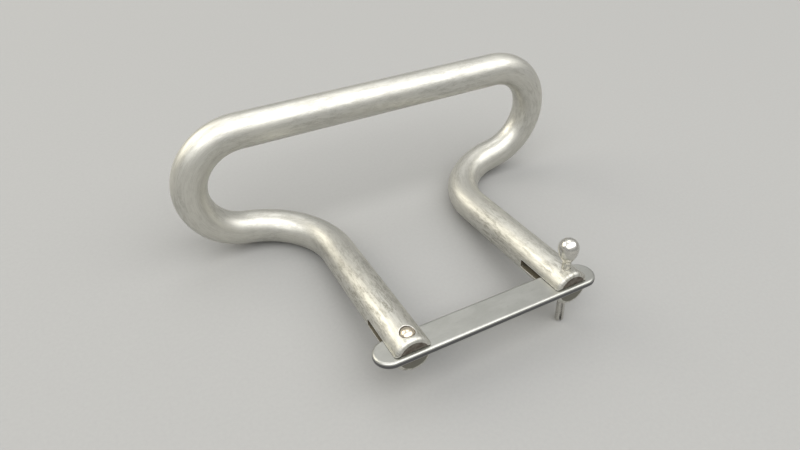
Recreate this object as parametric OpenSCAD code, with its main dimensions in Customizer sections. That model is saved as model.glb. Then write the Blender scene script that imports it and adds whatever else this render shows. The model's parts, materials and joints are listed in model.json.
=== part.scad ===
// Closed hand grip bent from one round bar. A flat lock bar pivots on a rivet in the left leg, lies
// in slots sawn across both legs, and is held in the right leg by a pull pin with a pear-shaped knob.
// The modules draw the pieces in the handle frame: the origin is midway between the leg ends, on
// the plane of the legs' centre-lines, with +X to the right, +Y from the leg ends towards the grip
// and +Z up. at_rest() then tips the handle back until it stands on both shoulders and on the end
// of the pull pin, with the floor at z = 0 and the origin under the middle of its outline.

/* [Handle rod] */
// Diameter of the round bar
rod_d = 12.7; // [12:0.1:13.4]
// Distance between the centre-lines of the two legs
leg_spacing = 60; // [56:0.5:70]
// Length of the straight part of each leg
leg_length = 60.5; // [50:0.5:75]
// Centre-line radius of the bend from each leg to its shoulder
shoulder_radius = 26.5; // [22:0.5:32]
// Angle that each shoulder bend turns through
shoulder_turn = 90.8; // [88:0.1:95]
// Angle by which the shoulders rise out of the plane of the legs
shoulder_rise = 9.8; // [8:0.1:12]
// Centre-line radius of the bend from each shoulder up into the grip
grip_radius = 20.8; // [18:0.1:26]
// Chamfer round the end of each leg
end_chamfer = 1; // [0.4:0.1:1.5]

/* [Slots] */
// Height of the slot sawn across each leg
slot_height = 2.9; // [2.8:0.1:3.4]
// Depth of the slots from the ends of the legs
slot_depth = 20; // [18:0.5:24]

/* [Lock bar] */
// Overall length of the flat bar, round ends included
bar_length = 83.2; // [80:0.2:88]
// Width of the flat bar
bar_width = 10.8; // [10.4:0.1:12]
// Thickness of the flat bar
bar_thickness = 2.5; // [2.2:0.1:2.6]
// Chamfer along the edges of the flat bar
bar_chamfer = 0.45; // [0.2:0.05:0.6]

/* [Pivot rivet] */
// Distance of the rivet and of the pull pin from the ends of the legs
pin_inset = 4.3; // [3.5:0.1:5.5]
// Shank diameter of the pivot rivet
rivet_d = 3.2; // [2.8:0.1:3.4]
// Diameter of the domed rivet heads
rivet_head_d = 4.8; // [4.6:0.1:5.2]
// Height of the domed rivet heads over the flats that they sit on
rivet_head_height = 1.5; // [1.2:0.1:1.8]

/* [Pull pin] */
// Shank diameter of the pull pin
pin_d = 3; // [2.8:0.1:3.2]
// Largest diameter of the pear-shaped knob
knob_d = 6.8; // [6:0.1:8]
// Height of the knob's widest place above the legs' centre-lines
knob_height = 14.5; // [14:0.1:17]
// Radius of the pear's long side curve
pear_radius = 8.2; // [7:0.1:11]
// Radius of the hollow that blends the pear into the shank
flare_radius = 3; // [2:0.5:5]
// Width of the saw cut that splits the tail into two spring legs
split_width = 0.8; // [0.5:0.1:1]
// Length of that saw cut
split_length = 12; // [8:0.5:14]
// Turn of the pull pin about its own axis
pin_turn = -26; // [-90:1:90]

/* [Rest attitude] */
// Angle by which the handle tips back when it lies on a flat surface
rest_tilt = 9; // [8:0.1:10]

/* [Hidden] */
$fn = 64;

// Radial play of a shaft in its drilled hole
play = 0.05;
// Overlap of a cutter past the face that it cuts
past = 1;

rod_r = rod_d / 2;
leg_x = leg_spacing / 2;
seam_length = 0.8;
seam_rise = 0.05;

// Each outer bend starts on its shoulder's heading and ends along the grip, parallel to X. Its
// plane is the shoulder bend's plane rolled about that heading.
outer_turn = acos(-sin(shoulder_turn) * cos(shoulder_rise));
outer_roll = atan2(sin(shoulder_rise), -cos(shoulder_turn) * cos(shoulder_rise));
grip_reach = grip_radius * tan(outer_turn / 2);
grip_half = leg_x + shoulder_radius * (1 - cos(shoulder_turn)) * cos(shoulder_rise)
            - grip_radius * sin(outer_turn);
grip_y = leg_length + shoulder_radius * sin(shoulder_turn) + grip_reach * cos(shoulder_turn);
grip_z = (shoulder_radius * (1 - cos(shoulder_turn)) + grip_reach * sin(shoulder_turn))
         * sin(shoulder_rise);

// The floor touches a tipped shoulder bend where the bend's centre-line runs level.
contact_turn = atan(tan(rest_tilt) / sin(shoulder_rise));
contact_y = leg_length + shoulder_radius * sin(contact_turn);
contact_z = shoulder_radius * (1 - cos(contact_turn)) * sin(shoulder_rise);
floor_drop = contact_y * sin(rest_tilt) - contact_z * cos(rest_tilt) + rod_r;

// The pull pin's tail reaches down to the same floor.
tail_chamfer = 0.4;
tail_r = pin_d / 2 - tail_chamfer;
tail_z = ((pin_inset + tail_r) * sin(rest_tilt) - floor_drop) / cos(rest_tilt);

// Front and back of the tipped outline: the lock bar's front edge and the grip
front_y = (pin_inset - bar_width / 2) * cos(rest_tilt)
          - (bar_thickness / 2 - bar_chamfer) * sin(rest_tilt);
back_y = grip_y * cos(rest_tilt) + grip_z * sin(rest_tilt) + rod_r;

// Flats that the rivet heads sit on: a margin round each head, sunk a little below the bar's round
flat_margin = 0.15;
flat_sink = 0.1;
flat_r = rivet_head_d / 2 + flat_margin;
flat_z = sqrt(pow(rod_r, 2) - pow(flat_r, 2)) - flat_sink;

// Places its children, drawn in the handle frame, in the frame of the whole part.
module at_rest() {
    translate([0, -(front_y + back_y) / 2, floor_drop])
        rotate([-rest_tilt, 0, 0])
            children();
}

module both_sides() {
    children();
    mirror([1, 0, 0]) children();
}

// Bend of the round bar that starts at the origin heading along +Y and turns towards +X.
module bend(radius, angle) {
    translate([radius, 0, 0])
        rotate([0, 0, 180 - angle])
            rotate_extrude(angle = angle)
                translate([radius, 0])
                    circle(d = rod_d);
}

// Puts its children at the far end of such a bend, heading along their own +Y.
module past_bend(radius, angle) {
    translate([radius, 0, 0])
        rotate([0, 0, -angle])
            translate([-radius, 0, 0])
                children();
}

module leg() {
    translate([leg_x, 0, 0])
        rotate([-90, 0, 0]) {
            cylinder(d1 = rod_d - 2 * end_chamfer, d2 = rod_d, h = end_chamfer);
            translate([0, 0, end_chamfer])
                cylinder(d = rod_d, h = leg_length - end_chamfer);
        }
}

// Band round the seam between two stretches of the bar, a hair proud of it, so that they fuse.
module seam() {
    translate([0, -seam_length / 2, 0])
        rotate([-90, 0, 0])
            cylinder(r = rod_r + seam_rise, h = seam_length);
}

// Shoulder bend, and the outer bend in two halves, with a seam at each end of each stretch.
module shoulder() {
    translate([leg_x, leg_length, 0])
        rotate([0, -shoulder_rise, 0]) {
            bend(shoulder_radius, shoulder_turn);
            seam();
            past_bend(shoulder_radius, shoulder_turn)
                rotate([0, -outer_roll, 0]) {
                    bend(grip_radius, outer_turn / 2);
                    seam();
                    past_bend(grip_radius, outer_turn / 2) {
                        bend(grip_radius, outer_turn / 2);
                        seam();
                        past_bend(grip_radius, outer_turn / 2)
                            seam();
                    }
                }
        }
}

module grip() {
    translate([-grip_half, grip_y, grip_z])
        rotate([0, 90, 0])
            cylinder(d = rod_d, h = 2 * grip_half);
}

// Slot across both legs, open at the leg ends and on both sides.
module slot_cut() {
    translate([-leg_x - rod_d, -past, -slot_height / 2])
        cube([2 * (leg_x + rod_d), slot_depth + past, slot_height]);
}

// Hole through one leg for a rivet or a pin of the given diameter.
module cross_hole(x, d) {
    translate([x, pin_inset, -rod_d])
        cylinder(d = d + 2 * play, h = 2 * rod_d);
}

module rivet_flats() {
    for (side = [0, 1])
        mirror([0, 0, side])
            translate([-leg_x, pin_inset, flat_z])
                cylinder(r = flat_r, h = rod_r);
}

module handle_rod() {
    color([0.72, 0.71, 0.68])
        at_rest()
            difference() {
                union($fn = 48) {
                    both_sides() {
                        leg();
                        shoulder();
                    }
                    grip();
                }
                slot_cut();
                cross_hole(-leg_x, rivet_d);
                cross_hole(leg_x, pin_d);
                rivet_flats();
            }
}

// Half of the flat bar's cross-section: points out to half_width, edges chamfered.
function bar_section(half_width) = [
    [0, -bar_thickness / 2],
    [half_width - bar_chamfer, -bar_thickness / 2],
    [half_width, -bar_thickness / 2 + bar_chamfer],
    [half_width, bar_thickness / 2 - bar_chamfer],
    [half_width - bar_chamfer, bar_thickness / 2],
    [0, bar_thickness / 2]
];

module lock_bar() {
    end_x = (bar_length - bar_width) / 2;
    color([0.66, 0.66, 0.64])
        at_rest()
            translate([0, pin_inset, 0])
                difference() {
                    union() {
                        for (side = [0, 1])
                            mirror([0, side, 0])
                                translate([-end_x, 0, 0])
                                    rotate([90, 0, 90])
                                        linear_extrude(2 * end_x)
                                            polygon(bar_section(bar_width / 2));
                        for (x = [-end_x, end_x])
                            translate([x, 0, 0])
                                rotate_extrude()
                                    polygon(bar_section(bar_width / 2));
                    }
                    translate([-leg_x, 0, -past - bar_thickness])
                        cylinder(d = rivet_d + 2 * play, h = 2 * (past + bar_thickness));
                    translate([leg_x, 0, -past - bar_thickness])
                        cylinder(d = pin_d + 2 * play, h = 2 * (past + bar_thickness));
                }
}

// Dome over the origin, with its flat side on the XY plane.
module dome(base_r, height) {
    sphere_r = (pow(base_r, 2) + pow(height, 2)) / (2 * height);
    rotate_extrude()
        intersection() {
            translate([0, height - sphere_r])
                circle(r = sphere_r);
            square([base_r, height]);
        }
}

module pivot_rivet() {
    color([0.8, 0.76, 0.68])
        at_rest()
            translate([-leg_x, pin_inset, 0]) {
                translate([0, 0, -flat_z])
                    cylinder(d = rivet_d, h = 2 * flat_z);
                for (side = [0, 1])
                    mirror([0, 0, side])
                        translate([0, 0, flat_z])
                            dome(rivet_head_d / 2, rivet_head_height);
            }
}

// Outline of the pull pin to one side of its axis: a shank that runs up into the knob, and round
// its top end a hollow flare, the pear's long side curve and a round crown. The side curve and the
// hollow are arcs that meet tangentially, and the hollow runs tangentially into the shank.
module pin_outline() {
    pin_r = pin_d / 2;
    knob_r = knob_d / 2;
    pear_x = knob_r - pear_radius;
    flare_x = pin_r + flare_radius;
    centres = pear_radius + flare_radius;
    flare_z = knob_height - sqrt(pow(centres, 2) - pow(flare_x - pear_x, 2));
    meet_x = pear_x + (flare_x - pear_x) * pear_radius / centres;
    meet_z = knob_height - (knob_height - flare_z) * pear_radius / centres;
    polygon([
        [0, tail_z],
        [tail_r, tail_z],
        [pin_r, tail_z + tail_chamfer],
        [pin_r, knob_height + pin_r],
        [0, knob_height + pin_r]
    ]);
    difference() {
        translate([0, flare_z])
            square([meet_x, meet_z - flare_z]);
        translate([flare_x, flare_z])
            circle(r = flare_radius);
    }
    intersection() {
        translate([pear_x, knob_height])
            circle(r = pear_radius);
        translate([0, meet_z])
            square([knob_r, knob_height - meet_z]);
    }
    intersection() {
        translate([0, knob_height])
            circle(r = knob_r);
        translate([0, knob_height])
            square(knob_r);
    }
}

module pull_pin() {
    color([0.78, 0.76, 0.72])
        at_rest()
            translate([leg_x, pin_inset, 0])
                difference() {
                    rotate_extrude()
                        pin_outline();
                    rotate([0, 0, pin_turn])
                        translate([-split_width / 2, -pin_d, tail_z - past])
                            cube([split_width, 2 * pin_d, split_length + past]);
                }
}

handle_rod();
lock_bar();
pivot_rivet();
pull_pin();
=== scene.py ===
"""Looks of a detachable grab handle: a bent round rod, a swinging lock bar, a rivet and a pull pin.

The CAD frame gives every place. Each piece is made here once more as a finer, seamless mesh of the
same size, in the handle's own frame: the origin midway between the leg ends, +Y along the legs
towards the grip, +Z up. It is then placed where the CAD piece lies.
"""

import json
import math

import bmesh
import bpy
from mathutils import Matrix, Vector


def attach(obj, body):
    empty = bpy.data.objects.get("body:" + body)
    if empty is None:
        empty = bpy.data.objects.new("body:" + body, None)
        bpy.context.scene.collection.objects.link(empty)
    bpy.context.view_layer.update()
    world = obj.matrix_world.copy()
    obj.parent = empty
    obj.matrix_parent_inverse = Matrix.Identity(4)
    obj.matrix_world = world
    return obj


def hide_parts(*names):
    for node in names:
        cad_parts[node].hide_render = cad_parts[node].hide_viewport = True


MM = 0.001

# Bent rod, with the same dimensions as in the CAD source
ROD_R = 6.35 * MM
LEG_X = 30 * MM
LEG_LENGTH = 60.5 * MM
SHOULDER_RADIUS = 26.5 * MM
SHOULDER_TURN = math.radians(90.8)
SHOULDER_RISE = math.radians(9.8)
GRIP_RADIUS = 20.8 * MM
SLOT_HEIGHT = 2.9 * MM
SLOT_DEPTH = 20 * MM
PIN_INSET = 4.3 * MM

# Radius of the rounding at the leg ends, and depth of the broken edges at the slots' mouths
END_ROUND = 1.4 * MM
LIP = 0.5 * MM

# Lock bar, the radius of its rounded edges, and the width of a flat ring next to them, which keeps
# the shading of the bar's faces flat
BAR_LENGTH = 83.2 * MM
BAR_WIDTH = 10.8 * MM
BAR_THICKNESS = 2.5 * MM
BAR_ROUND = 0.9 * MM
RIM = 0.15 * MM

# Rivet, and the flat that each of its heads lies on
RIVET_R = 1.6 * MM
RIVET_HEAD_R = 2.4 * MM
RIVET_HEAD_HEIGHT = 1.5 * MM
FLAT_MARGIN = 0.15 * MM
FLAT_SINK = 0.1 * MM
RIVET_FLAT_R = RIVET_HEAD_R + FLAT_MARGIN
RIVET_FLAT_Z = math.sqrt(ROD_R**2 - RIVET_FLAT_R**2) - FLAT_SINK

# Pull pin
PIN_R = 1.5 * MM
KNOB_R = 3.4 * MM
KNOB_HEIGHT = 14.5 * MM
PEAR_RADIUS = 8.2 * MM
FLARE_RADIUS = 3 * MM
TAIL_CHAMFER = 0.4 * MM
SPLIT_WIDTH = 0.8 * MM
SPLIT_LENGTH = 12 * MM
PIN_TURN = math.radians(-26)

# Play round the rivet and the pin
PLAY = 0.05 * MM

# Fineness of the meshes
SIDES = 72
HOLE_SIDES = 64
STEP = 1.4 * MM
ARC_STEPS = 16
ROUND_STEPS = 8

# How far a cutter reaches past what it cuts
OVERSHOOT = 1 * MM

# Edges that turn by more than this are shaded sharp
SHARP = math.radians(32)

# Rod's look: colours, and the reach from an edge of the bright edges, which are wear and also a
# painted highlight along the slots' lips
ROD_WARM = (0.67, 0.66, 0.605, 1)
ROD_COOL = (0.615, 0.61, 0.57, 1)
ROD_TARNISH = (0.315, 0.305, 0.262, 1)
ROD_STREAK = (0.42, 0.405, 0.36, 1)
ROD_EDGE_WEAR_HIGHLIGHT = (0.93, 0.925, 0.90, 1)
ROD_WEAR_HIGHLIGHT_REACH = 0.5 * MM

# How tarnished the grip is next to the legs, and where along Y the one gives way to the other, in mm
GRIP_TARNISH = 0.45
GRIP_STARTS = 14
LEGS_START = -10

# Cut faces' look: colours (their dark ones painted shade), and the reach of the wear from an edge
SAWN_SHADE_DARK = (0.125, 0.105, 0.085, 1)
SAWN_SHADE_LIGHT = (0.22, 0.20, 0.175, 1)
SAWN_LOWER_JAW_LIT = (0.21, 0.205, 0.175, 1)
SAWN_DEEP_BROWN = (0.20, 0.178, 0.13, 1)
SAWN_EDGE = (0.62, 0.60, 0.56, 1)
SAWN_WEAR = 0.12 * MM

# Height at rest of the gap between the upper and lower jaws at the leg ends, and half the band over
# which the painted light on the lower jaws fades in, in mm
JAW_HEIGHT = 16.5
JAW_BAND = 0.5

# Places along Y, in mm: the cut faces keep their colour up to the first and are browner and less
# metallic from the second, deep in the slots, and how metallic they are there
PLAIN_CUT_ENDS = -41.0
DEEP_BROWN_STARTS = -38.0
DEEP_BROWN_METALLIC = 0.4

# Lock bar's look: colours (the sides' one painted shade), and the reach of the wear from an edge
BAR_LIGHT = (0.48, 0.482, 0.455, 1)
BAR_DARK = (0.42, 0.422, 0.395, 1)
BAR_RUB = (0.35, 0.345, 0.32, 1)
BAR_SIDE_SHADE = (0.14, 0.14, 0.145, 1)
BAR_EDGE = (0.86, 0.855, 0.84, 1)
BAR_WEAR = 0.15 * MM

# Two colours each of the rivet, the pin and the floor, mixed by noise; the rivet's warm tint is a
# painted reflection
RIVET_REFLECTION_TINTED_COLORS = (0.78, 0.70, 0.57, 1), (0.60, 0.53, 0.42, 1)
PIN_COLORS = (0.68, 0.665, 0.62, 1), (0.52, 0.51, 0.475, 1)
FLOOR_COLORS = (0.295, 0.295, 0.29, 1), (0.325, 0.325, 0.32, 1)

# Studio: the sky low in front, low behind and overhead, the lamps' colours, and half the width of
# the floor
SKY_FRONT = (0.42, 0.42, 0.415, 1)
SKY_BEHIND = (0.38, 0.38, 0.37, 1)
SKY_TOP = (0.95, 0.95, 0.94, 1)
LAMP_WHITE = (1.0, 0.99, 0.97)
LAMP_WARM = (1.0, 0.945, 0.81)
FLOOR_REACH = 8.0

# Camera
CAMERA_AT = (-0.0850, -0.1358, 0.1651)
CAMERA_TARGET = (-0.0088, 0.0033, 0.0200)
CAMERA_ROLL = math.radians(2.05)
CAMERA_LENS = 26.6
CAMERA_SENSOR = 36
CAMERA_NEAR = 0.01
CAMERA_FAR = 50


def add(tree, kind, inputs=None, **settings):
    """A new shader node with its settings, and its inputs given as values or as linked sockets."""
    node = tree.nodes.new(kind)
    for name, value in settings.items():
        setattr(node, name, value)
    for key, value in (inputs or {}).items():
        if isinstance(value, bpy.types.NodeSocket):
            tree.links.new(value, node.inputs[key])
        else:
            node.inputs[key].default_value = value
    return node


def math_node(tree, operation, *values, clamp=False):
    inputs = dict(enumerate(values))
    return add(tree, "ShaderNodeMath", inputs, operation=operation, use_clamp=clamp).outputs[0]


def product(tree, a, b):
    return math_node(tree, "MULTIPLY", a, b)


def scaled(tree, vector, factors):
    node = add(tree, "ShaderNodeVectorMath", {0: vector, 1: factors}, operation="MULTIPLY")
    return node.outputs[0]


def turned(tree, vector, angle):
    """A vector turned about X."""
    inputs = {"Vector": vector, "Angle": angle}
    return add(tree, "ShaderNodeVectorRotate", inputs, rotation_type="X_AXIS").outputs[0]


def noise(tree, vector, factors, detail, roughness=0.55, distortion=0.0):
    """Noise whose grain along each axis is set by factors, in features per millimetre."""
    node = add(
        tree,
        "ShaderNodeTexNoise",
        {
            "Vector": scaled(tree, vector, factors),
            "Scale": 1.0,
            "Detail": detail,
            "Roughness": roughness,
            "Distortion": distortion,
        },
    )
    return node.outputs["Fac"]


def ramp(tree, value, low, high, to_low=0.0, to_high=1.0):
    """Smooth step of a value from low..high to to_low..to_high."""
    node = add(
        tree,
        "ShaderNodeMapRange",
        {"Value": value, "From Min": low, "From Max": high, "To Min": to_low, "To Max": to_high},
        interpolation_type="SMOOTHSTEP",
    )
    return node.outputs["Result"]


def mix_color(tree, factor, a, b):
    """A colour from a to b. Sockets 0, 6 and 7 of the node are the factor and the two colours."""
    return add(tree, "ShaderNodeMix", {0: factor, 6: a, 7: b}, data_type="RGBA").outputs[2]


def new_material(name):
    """A metal's material, with its node tree and its shader."""
    material = bpy.data.materials.new(name)
    material.use_nodes = True
    tree = material.node_tree
    tree.nodes.clear()
    output = add(tree, "ShaderNodeOutputMaterial")
    shader = add(tree, "ShaderNodeBsdfPrincipled", {"Metallic": 1.0})
    tree.links.new(shader.outputs[0], output.inputs["Surface"])
    return material, tree, shader


def edge_wear(tree, radius):
    """The normal rounded over edges, and how near the surface is to an edge, from 0 to 1."""
    rounded = add(tree, "ShaderNodeBevel", {"Radius": radius}, samples=6).outputs["Normal"]
    flat = add(tree, "ShaderNodeNewGeometry").outputs["Normal"]
    alike = add(tree, "ShaderNodeVectorMath", {0: rounded, 1: flat}, operation="DOT_PRODUCT")
    return rounded, ramp(tree, alike.outputs["Value"], 0.995, 0.90)


def bump(tree, height, distance, normal=None):
    """The normal bumped by a height, which is from 0 to 1 times a distance."""
    inputs = {"Height": height, "Distance": distance}
    if normal is not None:
        inputs["Normal"] = normal
    return add(tree, "ShaderNodeBump", inputs).outputs["Normal"]


def millimetres(tree):
    """Place on the object as it lies at rest, in millimetres."""
    place = add(tree, "ShaderNodeTexCoord").outputs["Object"]
    return scaled(tree, place, (1 / MM, 1 / MM, 1 / MM))


def rod_position(tree):
    """Place on the rod as if it were straight, in millimetres: X and Y across it, Z along it."""
    uv = add(tree, "ShaderNodeUVMap", uv_map="rod").outputs["UV"]
    split = add(tree, "ShaderNodeSeparateXYZ", {0: uv})
    turn = product(tree, split.outputs["Y"], math.tau)
    x = product(tree, math_node(tree, "COSINE", turn), ROD_R / MM)
    y = product(tree, math_node(tree, "SINE", turn), ROD_R / MM)
    z = product(tree, split.outputs["X"], 1 / MM)
    return add(tree, "ShaderNodeCombineXYZ", {"X": x, "Y": y, "Z": z}).outputs[0]


def rod_material():
    """Dull drawn rod, handled for years: streaks along it, grey tarnish between rubbed places,
    bright edges that are wear and, along the slots' lips, also a painted highlight.
    """
    material, tree, shader = new_material("rod_steel")
    place = rod_position(tree)
    broad = noise(tree, place, (0.10, 0.10, 0.045), detail=3)
    blotch = noise(tree, place, (1.05, 1.05, 0.24), detail=7, roughness=0.68, distortion=0.25)
    speck = noise(tree, place, (3.2, 3.2, 1.3), detail=5, roughness=0.65)
    streak = noise(tree, place, (5.5, 5.5, 0.10), detail=4, roughness=0.6)
    slant = turned(tree, place, math.radians(62))
    scratch = noise(tree, slant, (7.0, 7.0, 0.16), detail=2, roughness=0.5)

    patches = ramp(tree, broad, 0.36, 0.60, 0.40, 1.0)
    tarnish = product(tree, ramp(tree, blotch, 0.43, 0.60), patches)
    tarnish = product(tree, tarnish, ramp(tree, speck, 0.38, 0.58, 0.40, 1.0))
    along = add(tree, "ShaderNodeSeparateXYZ", {0: millimetres(tree)}).outputs["Y"]
    tarnish = product(tree, tarnish, ramp(tree, along, GRIP_STARTS, LEGS_START, GRIP_TARNISH, 1.0))
    scratches = product(tree, ramp(tree, scratch, 0.60, 0.72), ramp(tree, broad, 0.62, 0.44))

    color = mix_color(tree, ramp(tree, broad, 0.3, 0.7), ROD_WARM, ROD_COOL)
    color = mix_color(tree, tarnish, color, ROD_TARNISH)
    color = mix_color(tree, ramp(tree, streak, 0.35, 0.7, 0.0, 0.25), color, ROD_STREAK)
    # Bright edges: real wear, reaching wider to also paint the highlight along the slots' lips
    rounded, edge = edge_wear(tree, ROD_WEAR_HIGHLIGHT_REACH)
    color = mix_color(tree, edge, color, ROD_EDGE_WEAR_HIGHLIGHT)
    tree.links.new(color, shader.inputs["Base Color"])

    rough = math_node(tree, "MULTIPLY_ADD", tarnish, 0.16, 0.39)
    rough = math_node(tree, "ADD", rough, ramp(tree, streak, 0.3, 0.7, -0.03, 0.07))
    rough = math_node(tree, "ADD", rough, product(tree, scratches, 0.10), clamp=True)
    tree.links.new(rough, shader.inputs["Roughness"])

    normal = bump(tree, speck, 0.032 * MM, rounded)
    normal = bump(tree, streak, 0.012 * MM, normal)
    normal = bump(tree, scratches, -0.010 * MM, normal)
    tree.links.new(normal, shader.inputs["Normal"])
    return material


def shaded_sawn_material():
    """Faces left by the saw and the drill, with real fine marks across the cut, painted dark as
    shade. Those of the lower jaws are painted lighter, as painted light. Deep in the slots they are
    browner and less metallic."""
    material, tree, shader = new_material("sawn_steel_shaded")
    place = millimetres(tree)
    marks = noise(tree, place, (0.45, 3.2, 3.2), detail=5)
    stain = noise(tree, place, (0.7, 0.7, 0.7), detail=6)
    split = add(tree, "ShaderNodeSeparateXYZ", {0: place})
    lower = ramp(tree, split.outputs["Z"], JAW_HEIGHT + JAW_BAND, JAW_HEIGHT - JAW_BAND)
    deep_in_slot = ramp(tree, split.outputs["Y"], PLAIN_CUT_ENDS, DEEP_BROWN_STARTS)
    metallic = ramp(tree, split.outputs["Y"], PLAIN_CUT_ENDS, DEEP_BROWN_STARTS, 1.0, DEEP_BROWN_METALLIC)

    # Painted shade: the cut faces' dark colours stand for the shade they lie in; the stain mixing
    # them is real
    color = mix_color(tree, ramp(tree, stain, 0.38, 0.66), SAWN_SHADE_DARK, SAWN_SHADE_LIGHT)
    # Painted light: the lower jaws' cut faces are painted lighter, as if lit
    color = mix_color(tree, lower, color, SAWN_LOWER_JAW_LIT)
    # Deep in the slots the cut faces turn browner and less metallic
    color = mix_color(tree, deep_in_slot, color, SAWN_DEEP_BROWN)
    rounded, edge = edge_wear(tree, SAWN_WEAR)
    color = mix_color(tree, edge, color, SAWN_EDGE)
    tree.links.new(color, shader.inputs["Base Color"])
    tree.links.new(metallic, shader.inputs["Metallic"])
    tree.links.new(ramp(tree, marks, 0.3, 0.7, 0.34, 0.52), shader.inputs["Roughness"])
    tree.links.new(bump(tree, marks, 0.05 * MM, rounded), shader.inputs["Normal"])
    return material


def bar_material(axis):
    """Satin flat bar: fine lines along it, a few rubs, bright worn edges, sides painted dark as
    shade.
    """
    material, tree, shader = new_material("bar_steel")
    place = millimetres(tree)
    lines = noise(tree, place, (0.07, 7.0, 7.0), detail=3, roughness=0.6)
    cloud = noise(tree, place, (0.12, 0.2, 0.2), detail=6, roughness=0.6)
    rubs = noise(tree, place, (0.6, 1.6, 1.6), detail=6, roughness=0.7)
    normal = add(tree, "ShaderNodeTexCoord").outputs["Normal"]
    facing = add(tree, "ShaderNodeVectorMath", {0: normal, 1: axis}, operation="DOT_PRODUCT")
    side = ramp(tree, math_node(tree, "ABSOLUTE", facing.outputs["Value"]), 0.42, 0.12)

    color = mix_color(tree, ramp(tree, cloud, 0.3, 0.7), BAR_LIGHT, BAR_DARK)
    color = mix_color(tree, ramp(tree, rubs, 0.56, 0.72, 0.0, 0.45), color, BAR_RUB)
    # Painted shade: the bar's sides are painted dark
    color = mix_color(tree, side, color, BAR_SIDE_SHADE)
    rounded, edge = edge_wear(tree, BAR_WEAR)
    color = mix_color(tree, edge, color, BAR_EDGE)
    tree.links.new(color, shader.inputs["Base Color"])

    rough = ramp(tree, lines, 0.3, 0.7, 0.28, 0.37)
    rough = math_node(tree, "ADD", rough, ramp(tree, rubs, 0.4, 0.7, 0.0, 0.08))
    tree.links.new(rough, shader.inputs["Roughness"])
    tree.links.new(bump(tree, lines, 0.006 * MM, rounded), shader.inputs["Normal"])
    return material


def polished_material(name, colors, tilt):
    """Turned and polished metal: faint rings round the axis, small dulled spots."""
    material, tree, shader = new_material(name)
    place = millimetres(tree)
    ridges = noise(tree, turned(tree, place, tilt), (0.15, 0.15, 6.0), detail=3)
    dull = noise(tree, place, (0.9, 0.9, 0.9), detail=6, roughness=0.65)
    color = mix_color(tree, ramp(tree, dull, 0.35, 0.68), *colors)
    tree.links.new(color, shader.inputs["Base Color"])
    rough = ramp(tree, dull, 0.45, 0.75, 0.19, 0.28)
    rough = math_node(tree, "ADD", rough, ramp(tree, ridges, 0.3, 0.7, 0.0, 0.04))
    tree.links.new(rough, shader.inputs["Roughness"])
    tree.links.new(bump(tree, ridges, 0.004 * MM), shader.inputs["Normal"])
    return material


def floor_material():
    material, tree, shader = new_material("pale_floor")
    shader.inputs["Metallic"].default_value = 0.0
    shader.inputs["Roughness"].default_value = 0.9
    grain = noise(tree, millimetres(tree), (0.8, 0.8, 0.8), detail=4)
    tree.links.new(mix_color(tree, grain, *FLOOR_COLORS), shader.inputs["Base Color"])
    return material


class Turtle:
    """Runs along the rod's centre-line: a place, a heading and the side that it turns towards."""

    def __init__(self, at, heading, side):
        self.at, self.heading, self.side = Vector(at), Vector(heading), Vector(side)
        self.stations = []

    def straight(self, length, steps):
        start = self.at.copy()
        for i in range(steps):
            self.stations.append((start + self.heading * (length * i / steps), self.heading.copy()))
        self.at = start + self.heading * length

    def arc(self, radius, angle):
        start, heading, side = self.at.copy(), self.heading.copy(), self.side.copy()
        steps = math.ceil(radius * angle / STEP)
        for i in range(steps + 1):
            turn = angle * i / steps
            sideways, forwards = radius * (1 - math.cos(turn)), radius * math.sin(turn)
            self.at = start + side * sideways + heading * forwards
            self.heading = heading * math.cos(turn) + side * math.sin(turn)
            if i < steps:
                self.stations.append((self.at.copy(), self.heading.copy()))

    def face(self, side):
        self.side = (side - self.heading * side.dot(self.heading)).normalized()


def centre_line():
    """(place, heading) along the rod, from the right leg's end to the left's."""
    grip_heading = Vector((-1, 0, 0))
    shoulder_side = (math.cos(SHOULDER_RISE), 0, math.sin(SHOULDER_RISE))
    walk = Turtle((LEG_X, 0, 0), (0, 1, 0), shoulder_side)
    for i in range(ROUND_STEPS):
        turn = math.pi / 2 * i / ROUND_STEPS
        next_turn = turn + math.pi / 2 / ROUND_STEPS
        walk.straight(END_ROUND * (math.cos(turn) - math.cos(next_turn)), 1)
    walk.straight(LEG_LENGTH - END_ROUND, math.ceil(LEG_LENGTH / STEP))
    walk.arc(SHOULDER_RADIUS, SHOULDER_TURN)
    walk.face(grip_heading)
    walk.arc(GRIP_RADIUS, walk.heading.angle(grip_heading))
    walk.straight(walk.at.x, math.ceil(walk.at.x / STEP))
    half = walk.stations
    middle = (walk.at.copy(), walk.heading.copy())
    mirrored = [
        (Vector((-at.x, at.y, at.z)), Vector((heading.x, -heading.y, -heading.z)))
        for at, heading in reversed(half)
    ]
    return half + [middle] + mirrored


def rings(stations):
    """(centre, across, over, radius, length so far) of each cross-section, with no twist along the
    rod, and smaller near its ends, which are rounded over."""
    frames = []
    across = Vector((1, 0, 0))
    length = 0.0
    last = stations[0][0]
    for at, heading in stations:
        length += (at - last).length
        last = at
        across = (across - heading * across.dot(heading)).normalized()
        frames.append((at, across.copy(), heading.cross(across), length))
    sections = []
    for centre, right, over, so_far in frames:
        short = max(END_ROUND - min(so_far, length - so_far), 0)
        radius = ROD_R + (math.sqrt(max(END_ROUND**2 - short**2, 0)) - END_ROUND)
        sections.append((centre, right, over, radius, so_far))
    return sections


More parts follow.
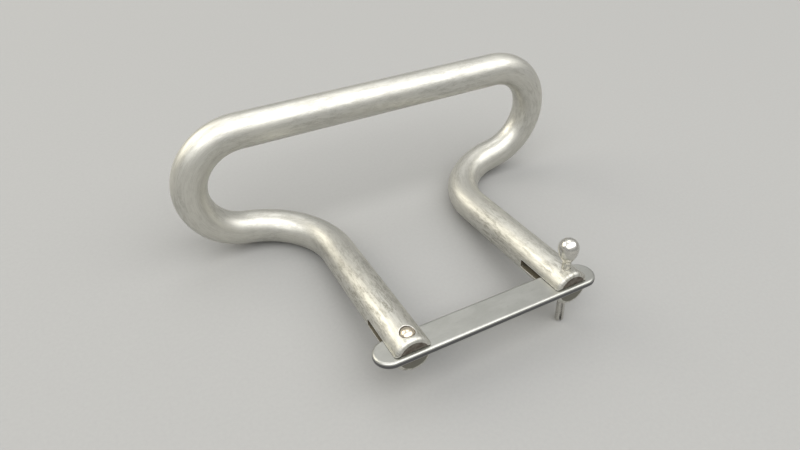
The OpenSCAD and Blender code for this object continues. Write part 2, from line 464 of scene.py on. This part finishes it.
def sweep_rod():
    """The rod with no slot or hole. Its UV map gives the length along it and the turn round it."""
    mesh = bmesh.new()
    uv = mesh.loops.layers.uv.new("rod")
    loops = []
    for centre, across, over, radius, length in rings(centre_line()):
        verts = []
        for i in range(SIDES):
            turn = math.tau * i / SIDES
            x, y = radius * math.cos(turn), radius * math.sin(turn)
            verts.append(mesh.verts.new(centre + across * x + over * y))
        loops.append((verts, length))
    for (verts, length), (next_verts, next_length) in zip(loops, loops[1:]):
        for i in range(SIDES):
            j = (i + 1) % SIDES
            face = mesh.faces.new((verts[i], verts[j], next_verts[j], next_verts[i]))
            face.smooth = True
            places = ((length, i), (length, i + 1), (next_length, i + 1), (next_length, i))
            for loop, (along, around) in zip(face.loops, places):
                loop[uv].uv = (along, around / SIDES)
    for (verts, length), order in ((loops[0], -1), (loops[-1], 1)):
        cap = mesh.faces.new(verts[::order])
        for loop in cap.loops:
            loop[uv].uv = (length, 0.0)
    return finished(mesh, "bent_rod")


def finished(mesh, name):
    """Turns a bmesh into an object of that name."""
    bmesh.ops.recalc_face_normals(mesh, faces=mesh.faces)
    data = bpy.data.meshes.new(name)
    mesh.to_mesh(data)
    mesh.free()
    piece = bpy.data.objects.new(name, data)
    bpy.context.scene.collection.objects.link(piece)
    return piece


def bridge(mesh, lower, upper):
    """Quads between two closed loops of vertices, or triangles where one is a single point."""
    for i in range(max(len(lower), len(upper))):
        corner = [
            lower[i % len(lower)],
            lower[(i + 1) % len(lower)],
            upper[(i + 1) % len(upper)],
            upper[i % len(upper)],
        ]
        mesh.faces.new(list(dict.fromkeys(corner))).smooth = True


def bridge_all(mesh, loops):
    for lower, upper in zip(loops, loops[1:]):
        bridge(mesh, lower, upper)


def lathe(name, profile, x):
    """Solid turned about the upright axis at x, from (radius, height) points, lowest first."""
    mesh = bmesh.new()
    loops = []
    for radius, height in profile:
        loop = []
        for i in range(SIDES if radius > 0 else 1):
            turn = math.tau * i / SIDES
            place = (x + radius * math.cos(turn), PIN_INSET + radius * math.sin(turn), height)
            loop.append(mesh.verts.new(place))
        loops.append(loop)
    bridge_all(mesh, loops)
    return finished(mesh, name)


def arc(centre_x, centre_z, radius, start, end):
    """Points along an arc, from the angle start to the angle end, for a lathe's profile."""
    turns = [start + (end - start) * i / ARC_STEPS for i in range(ARC_STEPS + 1)]
    return [(centre_x + radius * math.cos(t), centre_z + radius * math.sin(t)) for t in turns]


def box_cutter(low, high, turn, about):
    """A box between two corners, turned about the upright axis and moved by about."""
    mesh = bmesh.new()
    bmesh.ops.create_cube(mesh, size=1.0)
    low, high = Vector(low), Vector(high)
    spin = Matrix.Translation(about) @ Matrix.Rotation(turn, 4, "Z")
    for v in mesh.verts:
        v.co = spin @ Vector(low[k] + (high[k] - low[k]) * (v.co[k] + 0.5) for k in range(3))
    return finished(mesh, "box_cutter")


def slot_cutter():
    """The sawn slot, wider at its mouth where the edges of the jaws are broken."""
    half, reach = SLOT_HEIGHT / 2, LEG_X + 2 * ROD_R
    upper = [(SLOT_DEPTH, half), (LIP, half), (-OVERSHOOT, half + LIP + OVERSHOOT)]
    outline = upper + [(y, -z) for y, z in reversed(upper)]
    mesh = bmesh.new()
    ends = [[mesh.verts.new((x, y, z)) for y, z in outline] for x in (-reach, reach)]
    bridge(mesh, *ends)
    mesh.faces.new(ends[0])
    mesh.faces.new(ends[1][::-1])
    return finished(mesh, "slot_cutter")


def round_cutter(x, radius, low, high):
    """A round bar about the upright axis at x."""
    mesh = bmesh.new()
    bmesh.ops.create_cone(
        mesh,
        cap_ends=True,
        segments=HOLE_SIDES,
        radius1=radius,
        radius2=radius,
        depth=high - low,
    )
    for v in mesh.verts:
        v.co += Vector((x, PIN_INSET, (low + high) / 2))
    for face in mesh.faces:
        face.smooth = len(face.verts) == 4
    return finished(mesh, "round_cutter")


def cut(piece, cutters):
    """Cuts the cutters out of a piece. Their faces take the piece's last material."""
    for cutter in cutters:
        for material in piece.data.materials:
            cutter.data.materials.append(material)
        for face in cutter.data.polygons:
            face.material_index = len(piece.data.materials) - 1
        modifier = piece.modifiers.new("cut", "BOOLEAN")
        modifier.object = cutter
        modifier.operation = "DIFFERENCE"
        modifier.solver = "EXACT"
    graph = bpy.context.evaluated_depsgraph_get()
    data = bpy.data.meshes.new_from_object(piece.evaluated_get(graph), depsgraph=graph)
    piece.modifiers.clear()
    piece.data = data
    piece.data.name = piece.name
    for cutter in cutters:
        bpy.data.objects.remove(cutter)


def handle_to_row(hinge):
    """Matrix from the handle's own frame to the row frame, from the hinge's place and axis, and the
    angle by which it tilts."""
    axis = Vector(hinge["axis"])
    tilt = math.atan2(axis.y, axis.z)
    from_rivet = Matrix.Translation((LEG_X, -PIN_INSET, 0))
    place = Matrix.Translation(hinge["pos_m"]) @ Matrix.Rotation(-tilt, 4, "X") @ from_rivet
    return place, tilt


def bent_rod():
    """Rod with its slots, its holes and the flats under the rivet's heads."""
    rod = sweep_rod()
    rod.data.materials.append(rod_material())
    rod.data.materials.append(shaded_sawn_material())

    # The two end faces, which have more corners than the rest, are sawn
    for face in rod.data.polygons:
        if len(face.vertices) > 4:
            face.material_index = 1
    through = 2 * ROD_R
    cut(
        rod,
        [
            slot_cutter(),
            round_cutter(-LEG_X, RIVET_R + PLAY, -through, through),
            round_cutter(LEG_X, PIN_R + PLAY, -through, through),
            round_cutter(-LEG_X, RIVET_FLAT_R, RIVET_FLAT_Z, through),
            round_cutter(-LEG_X, RIVET_FLAT_R, -through, -RIVET_FLAT_Z),
        ],
    )

    # The broken edges at the slots' mouths, which slope by 45 degrees, are worn as bright as the rod
    for face in rod.data.polygons:
        if abs(abs(face.normal.z) - math.sqrt(0.5)) < 0.01:
            face.material_index = 0
    return rod


def flat_bar(axis):
    """Flat bar with round ends and rounded edges, with a hole for the rivet and one for the pin."""
    straight = (BAR_LENGTH - BAR_WIDTH) / 2
    low, high = -BAR_THICKNESS / 2, BAR_THICKNESS / 2

    # (half the width, rise) at each level of a rounded edge, where the rise runs from -1 at the
    # bar's face to 0 at its side, in units of the rounding's radius
    section = [
        (BAR_WIDTH / 2 - BAR_ROUND * (1 - math.sin(t)), -math.cos(t))
        for t in (math.pi / 2 * i / ROUND_STEPS for i in range(ROUND_STEPS + 1))
    ]
    section.insert(0, (section[0][0] - RIM, section[0][1]))
    levels = [(half, low + BAR_ROUND * (1 + rise)) for half, rise in section]
    levels += [(half, high - BAR_ROUND * (1 + rise)) for half, rise in reversed(section)]

    mesh = bmesh.new()
    loops = []
    for half, height in levels:
        loop = []
        for end, first in ((straight, -math.pi / 2), (-straight, math.pi / 2)):
            for i in range(SIDES // 2 + 1):
                turn = first + math.pi * i / (SIDES // 2)
                x, y = end + half * math.cos(turn), PIN_INSET + half * math.sin(turn)
                loop.append(mesh.verts.new((x, y, height)))
        loops.append(loop)
    bridge_all(mesh, loops)
    mesh.faces.new(loops[0][::-1])
    mesh.faces.new(loops[-1])
    bar = finished(mesh, "flat_bar")
    bar.data.materials.append(bar_material(axis))
    through = 2 * BAR_THICKNESS
    cut(
        bar,
        [
            round_cutter(-LEG_X, RIVET_R + PLAY, -through, through),
            round_cutter(LEG_X, PIN_R + PLAY, -through, through),
        ],
    )
    return bar


def rivet(material):
    """Shank with a domed head on a flat at each end."""
    top = RIVET_FLAT_Z + RIVET_HEAD_HEIGHT
    dome_r = (RIVET_HEAD_R**2 + RIVET_HEAD_HEIGHT**2) / (2 * RIVET_HEAD_HEIGHT)
    dome = arc(0, top - dome_r, dome_r, math.acos(RIVET_HEAD_R / dome_r), math.pi / 2)[:-1]
    upper = [(RIVET_R, RIVET_FLAT_Z)] + dome + [(0, top)]
    lower = [(radius, -height) for radius, height in reversed(upper)]
    piece = lathe("domed_rivet", lower + upper, -LEG_X)
    piece.data.materials.append(material)
    return piece


def pull_pin(material, tail_z):
    """Shank with a split tail, flaring out into a pear-shaped knob."""
    pear_x, flare_x = KNOB_R - PEAR_RADIUS, PIN_R + FLARE_RADIUS
    lean = math.acos((flare_x - pear_x) / (PEAR_RADIUS + FLARE_RADIUS))
    flare_z = KNOB_HEIGHT - (PEAR_RADIUS + FLARE_RADIUS) * math.sin(lean)
    profile = [(0, tail_z), (PIN_R - TAIL_CHAMFER, tail_z), (PIN_R, tail_z + TAIL_CHAMFER)]
    profile += arc(flare_x, flare_z, FLARE_RADIUS, math.pi, math.pi - lean)
    profile += arc(pear_x, KNOB_HEIGHT, PEAR_RADIUS, -lean, 0)[1:]
    profile += arc(0, KNOB_HEIGHT, KNOB_R, 0, math.pi / 2)[1:-1] + [(0, KNOB_HEIGHT + KNOB_R)]
    piece = lathe("knob_pin", profile, LEG_X)
    piece.data.materials.append(material)
    low = (-SPLIT_WIDTH / 2, -2 * PIN_R, tail_z - OVERSHOOT)
    high = (SPLIT_WIDTH / 2, 2 * PIN_R, tail_z + SPLIT_LENGTH)
    cut(piece, [box_cutter(low, high, PIN_TURN, (LEG_X, PIN_INSET, 0))])
    return piece


def lowest(node, place):
    """Height of a CAD node's lowest point in the handle's own frame."""
    into = place.inverted() @ node.matrix_world
    return min((into @ v.co).z for v in node.data.vertices)


def install(piece, place, node, body):
    """Moves a finished piece to its place and lets it stand in for its CAD node."""
    piece.data.transform(place)
    piece.data.set_sharp_from_angle(angle=SHARP)
    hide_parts(node)
    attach(piece, body)


def aimed(at, target):
    """Turn of a lamp or camera that looks from one point at another."""
    return (Vector(target) - Vector(at)).to_track_quat("-Z", "Y")


def area_light(name, at, target, size, power, color):
    data = bpy.data.lights.new(name, "AREA")
    data.shape = "RECTANGLE"
    data.size, data.size_y = size
    data.energy = power
    data.color = color
    lamp = bpy.data.objects.new(name, data)
    bpy.context.scene.collection.objects.link(lamp)
    lamp.visible_camera = False
    lamp.location = at
    lamp.rotation_euler = aimed(at, target).to_euler()


def studio():
    """Plain floor under soft light: a wide lamp overhead in front of the handle, a small one high
    behind it, a warm one lower behind it on the left, and an even sky that is paler overhead."""
    world = bpy.data.worlds.new("studio")
    bpy.context.scene.world = world
    world.use_nodes = True
    tree = world.node_tree
    tree.nodes.clear()
    direction = add(tree, "ShaderNodeTexCoord").outputs["Generated"]
    split = add(tree, "ShaderNodeSeparateXYZ", {0: direction})
    color = mix_color(tree, ramp(tree, split.outputs["Y"], -0.5, 0.6), SKY_FRONT, SKY_BEHIND)
    color = mix_color(tree, ramp(tree, split.outputs["Z"], 0.15, 0.85), color, SKY_TOP)
    background = add(tree, "ShaderNodeBackground", {"Color": color})
    output = add(tree, "ShaderNodeOutputWorld")
    tree.links.new(background.outputs[0], output.inputs["Surface"])

    area_light("overhead", (0, -1.35, 2.7), (0, -1.35, 0), (7.8, 2.85), 144.0, LAMP_WHITE)
    area_light("key", (0.36, 1.26, 2.55), (0, 0.02, 0.02), (1.5, 1.2), 10.0, LAMP_WHITE)
    area_light("glow", (-1.8, 1.86, 1.5), (0, 0, 0.02), (2.2, 2.0), 36.0, LAMP_WARM)

    mesh = bmesh.new()
    bmesh.ops.create_grid(mesh, x_segments=1, y_segments=1, size=FLOOR_REACH)
    floor = finished(mesh, "floor")
    floor.data.materials.append(floor_material())


def camera():
    data = bpy.data.cameras.new("camera")
    data.lens = CAMERA_LENS
    data.sensor_width = CAMERA_SENSOR
    data.clip_start = CAMERA_NEAR
    data.clip_end = CAMERA_FAR
    eye = bpy.data.objects.new("camera", data)
    bpy.context.scene.collection.objects.link(eye)
    look = aimed(CAMERA_AT, CAMERA_TARGET).to_matrix().to_4x4()
    roll = Matrix.Rotation(CAMERA_ROLL, 4, "Z")
    eye.matrix_world = Matrix.Translation(CAMERA_AT) @ look @ roll
    bpy.context.scene.camera = eye


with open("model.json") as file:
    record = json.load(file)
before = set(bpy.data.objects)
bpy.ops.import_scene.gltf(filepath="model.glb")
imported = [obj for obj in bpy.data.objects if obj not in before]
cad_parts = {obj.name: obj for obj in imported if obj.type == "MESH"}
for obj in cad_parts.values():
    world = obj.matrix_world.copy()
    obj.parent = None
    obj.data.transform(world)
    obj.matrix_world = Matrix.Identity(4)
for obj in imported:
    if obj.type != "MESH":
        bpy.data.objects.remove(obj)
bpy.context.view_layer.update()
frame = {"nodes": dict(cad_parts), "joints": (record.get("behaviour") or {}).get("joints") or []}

camera()
studio()

hinge = next(joint for joint in frame["joints"] if joint["name"] == "lock_bar_swing")
place, tilt = handle_to_row(hinge)

install(bent_rod(), place, "handle_rod", "handle")
install(flat_bar(hinge["axis"]), place, "lock_bar", "lock_bar")
# The rivet's warm tint is a painted reflection of warm surroundings
rivet_steel = polished_material("rivet_steel", RIVET_REFLECTION_TINTED_COLORS, tilt)
install(rivet(rivet_steel), place, "pivot_rivet", "handle")
pin_steel = polished_material("pin_steel", PIN_COLORS, tilt)
tail_z = lowest(frame["nodes"]["pull_pin"], place)
install(pull_pin(pin_steel, tail_z), place, "pull_pin", "pull_pin")

bpy.context.scene.view_settings.view_transform = "Standard"
